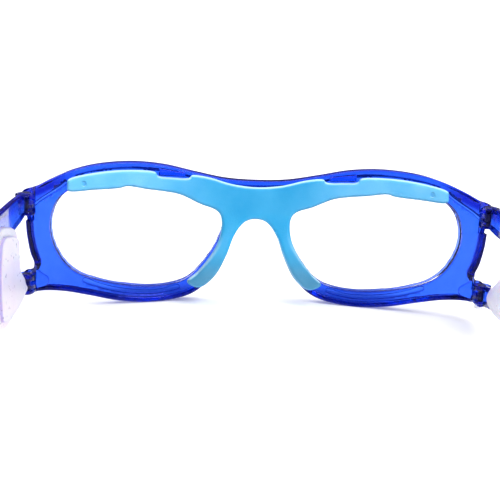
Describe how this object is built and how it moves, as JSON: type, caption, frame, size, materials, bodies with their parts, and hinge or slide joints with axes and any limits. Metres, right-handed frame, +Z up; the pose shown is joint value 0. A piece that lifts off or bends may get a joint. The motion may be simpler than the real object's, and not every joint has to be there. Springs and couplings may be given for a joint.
{
  "type": "sports protective goggles",
  "caption": "Wrap-round protective sports goggles with clear lenses, a soft brow and nose pad, hinged cushioned temples and an adjustable elastic head strap.",
  "frame": {"origin": "middle of the goggles' width and length, on the surface that they stand on", "axes": "-Y the way the wearer looks, +Z up, +X to the wearer's left"},
  "size_m": [0.1458, 0.197, 0.0449],
  "materials": {
    "frame_blue": "polished translucent blue nylon",
    "lens_clear": "clear polished polycarbonate",
    "pad_cyan": "soft satin translucent silicone",
    "cushion_clear": "clear frosted silicone",
    "screw_steel": "bright",
    "insert_brass": "bright",
    "strap_webbing": "woven elastic",
    "slider_plastic": "moulded satin"
  },
  "bodies": {
    "front": {"front_frame": "frame_blue", "brow_nose_pad": "pad_cyan", "lens_left": "lens_clear", "lens_right": "lens_clear", "strap_left": "strap_webbing", "strap_right": "strap_webbing"},
    "temple_left_body": {"temple_left": "frame_blue", "temple_cushion_left": "cushion_clear", "hinge_screw_left_upper": "screw_steel", "hinge_insert_left_upper": "insert_brass", "hinge_screw_left_lower": "screw_steel", "hinge_insert_left_lower": "insert_brass"},
    "slider_left_body": {"strap_slider_left": "slider_plastic"},
    "temple_right_body": {"temple_right": "frame_blue", "temple_cushion_right": "cushion_clear", "hinge_screw_right_upper": "screw_steel", "hinge_insert_right_upper": "insert_brass", "hinge_screw_right_lower": "screw_steel", "hinge_insert_right_lower": "insert_brass"},
    "slider_right_body": {"strap_slider_right": "slider_plastic"}
  },
  "joints": [
    {"name": "left_temple_fold", "type": "hinge", "parent": "front", "child": "temple_left_body", "pos_m": [0.0686, -0.0709, 0.0217], "axis": [0, 0, 1], "range_deg": [0, 75], "deforming": ["strap_left"]},
    {"name": "right_temple_fold", "type": "hinge", "parent": "front", "child": "temple_right_body", "pos_m": [-0.0686, -0.0709, 0.0217], "axis": [0, 0, -1], "range_deg": [0, 75], "deforming": ["strap_right"]},
    {"name": "left_slider_travel", "type": "hinge", "parent": "front", "child": "slider_left_body", "pos_m": [0, -0.0225, 0.013], "axis": [0, 0, -1], "range_deg": [-4.5, 2.5]},
    {"name": "right_slider_travel", "type": "hinge", "parent": "front", "child": "slider_right_body", "pos_m": [0, -0.0225, 0.013], "axis": [0, 0, 1], "range_deg": [-4.5, 2.5]}
  ]
}
